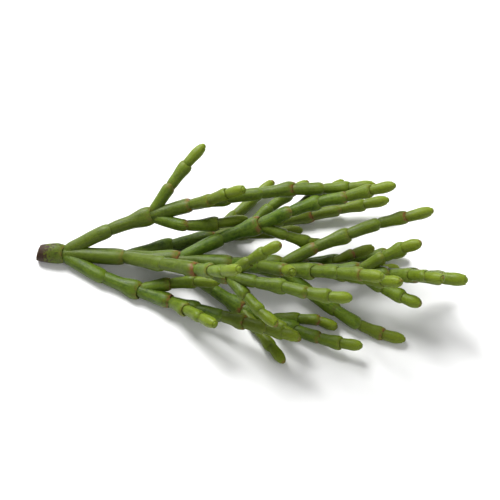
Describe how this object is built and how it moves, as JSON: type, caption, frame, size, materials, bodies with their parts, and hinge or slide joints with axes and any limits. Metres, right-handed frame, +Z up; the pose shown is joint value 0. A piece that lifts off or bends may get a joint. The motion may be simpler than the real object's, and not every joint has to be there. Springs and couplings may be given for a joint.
{
  "type": "samphire sprig",
  "caption": "Cut sprig of samphire: a leafless stem of fleshy joints with opposite pairs of jointed side shoots, lying on a surface as picked.",
  "frame": {"origin": "the surface that the sprig lies on, below the middle of its box", "axes": "+X from the cut end towards the stem's tip, +Y to the left of that, +Z up from the surface"},
  "size_m": [0.1042, 0.0516, 0.0298],
  "materials": {
    "flesh": "succulent green flesh under a thin waxy skin, semi-matt, yellower towards the tips"
  },
  "bodies": {
    "root": {"samphire_sprig": "flesh"}
  },
  "joints": []
}
